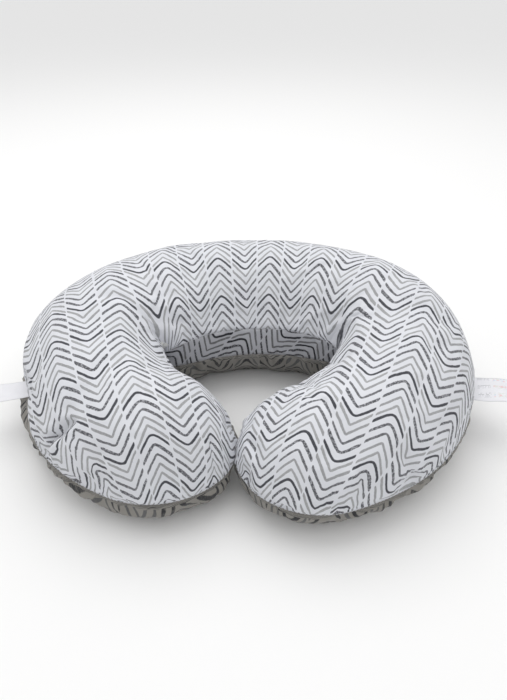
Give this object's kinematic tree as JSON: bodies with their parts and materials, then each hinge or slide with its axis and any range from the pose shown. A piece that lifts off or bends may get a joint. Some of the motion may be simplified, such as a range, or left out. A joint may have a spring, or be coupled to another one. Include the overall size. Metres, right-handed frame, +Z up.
{
  "type": "nursing pillow",
  "caption": "C-shaped nursing pillow: fibre filled inner pillow in a printed cover closed by a zip, with a care label and a side tag.",
  "frame": {"origin": "on the floor, under the middle of the whole object's box", "axes": "+X to the right arm, +Y to the back of the ring, +Z up; the gap between the arms faces -Y"},
  "size_m": [0.6508, 0.4284, 0.1615],
  "materials": {
    "printed_cotton": "printed plain weave",
    "case_cloth": "plain undyed cloth",
    "polyester_fibre": "loose fibre",
    "sewing_thread": "spun thread",
    "zip_tape_grey": "woven tape",
    "zip_coil_nylon": "satin nylon",
    "zip_metal": "brushed",
    "label_satin": "satin ribbon",
    "tag_film": "thin nonwoven"
  },
  "bodies": {
    "pillow": {"cover_top_panel": "printed_cotton", "cover_bottom_panel": "printed_cotton", "cover_inner_band": "printed_cotton", "case_top_half": "case_cloth", "case_bottom_half": "case_cloth", "fibre_filling": "polyester_fibre", "main_seam_thread": "sewing_thread", "band_seam_thread": "sewing_thread", "bar_tack_left": "sewing_thread", "bar_tack_right": "sewing_thread", "zip_tape_upper": "zip_tape_grey", "zip_tape_lower": "zip_tape_grey", "zip_coil_upper": "zip_coil_nylon", "zip_coil_lower": "zip_coil_nylon", "zip_top_stop_upper": "zip_metal", "zip_top_stop_lower": "zip_metal", "zip_bottom_stop": "zip_metal"},
    "slider": {"zip_slider": "zip_metal"},
    "pull_tab": {"zip_pull_tab": "zip_metal"},
    "label": {"care_label": "label_satin"},
    "tag": {"side_tag": "tag_film"}
  },
  "joints": [
    {"name": "zip_slider_travel", "type": "hinge", "parent": "pillow", "child": "slider", "pos_m": [-0.00457, -0.12202, 0.0565], "axis": [0, 0, 1], "range_deg": [0, 77.5]},
    {"name": "pull_tab_flip", "type": "hinge", "parent": "slider", "child": "pull_tab", "pos_m": [0.21058, 0.13732, 0.0565], "axis": [0, 0, -1], "range_deg": [0, 170]},
    {"name": "care_label_bend", "type": "hinge", "parent": "pillow", "child": "label", "pos_m": [0.26637, -0.04196, 0.0565], "axis": [-0.2662, -0.9639, 0], "range_deg": [-60, 60], "stiffness_Nm_per_rad": 0.01},
    {"name": "side_tag_bend", "type": "hinge", "parent": "pillow", "child": "tag", "pos_m": [-0.27454, -0.04403, 0.0565], "axis": [-0.2782, 0.9605, 0], "range_deg": [-60, 60], "stiffness_Nm_per_rad": 0.008}
  ]
}
